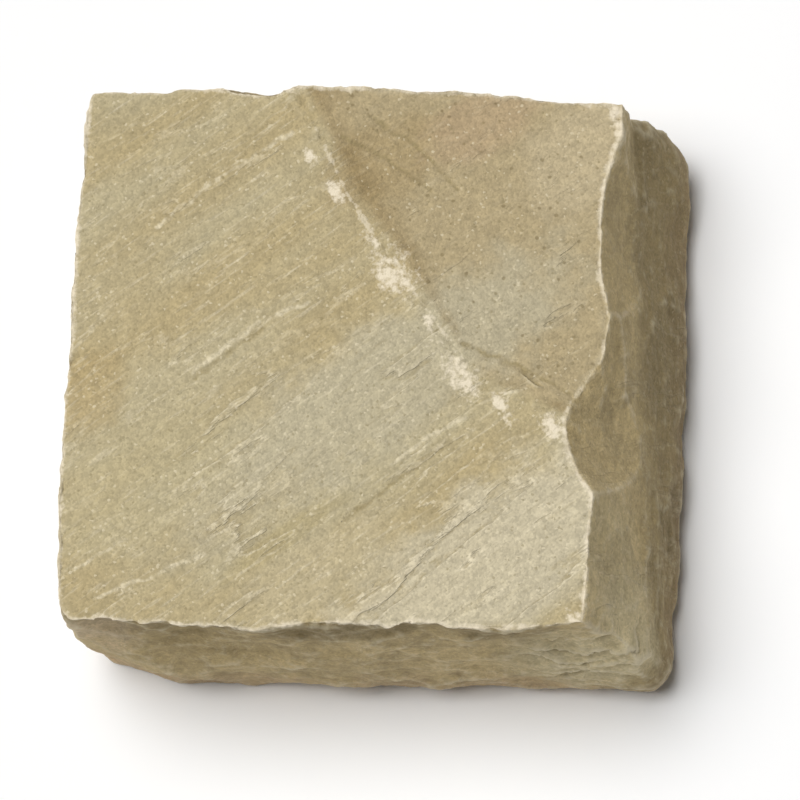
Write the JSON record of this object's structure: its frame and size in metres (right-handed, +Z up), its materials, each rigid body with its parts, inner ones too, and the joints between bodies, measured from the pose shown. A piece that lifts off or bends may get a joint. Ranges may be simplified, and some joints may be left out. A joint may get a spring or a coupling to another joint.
{
  "type": "limestone cobble",
  "caption": "Squat hand-cut natural stone paving sett, near square, with a riven face broken by a split ledge, dressed sides and a flat bed for laying.",
  "frame": {"origin": "on the bed, under the middle of the widest section", "axes": "+Z up from the bed to the riven face, -Y to the front side, +X to the right side that leans out"},
  "size_m": [0.1096, 0.1051, 0.044],
  "materials": {
    "limestone": "riven and hand dressed, matt"
  },
  "bodies": {
    "root": {"cobble": "limestone"}
  },
  "joints": []
}
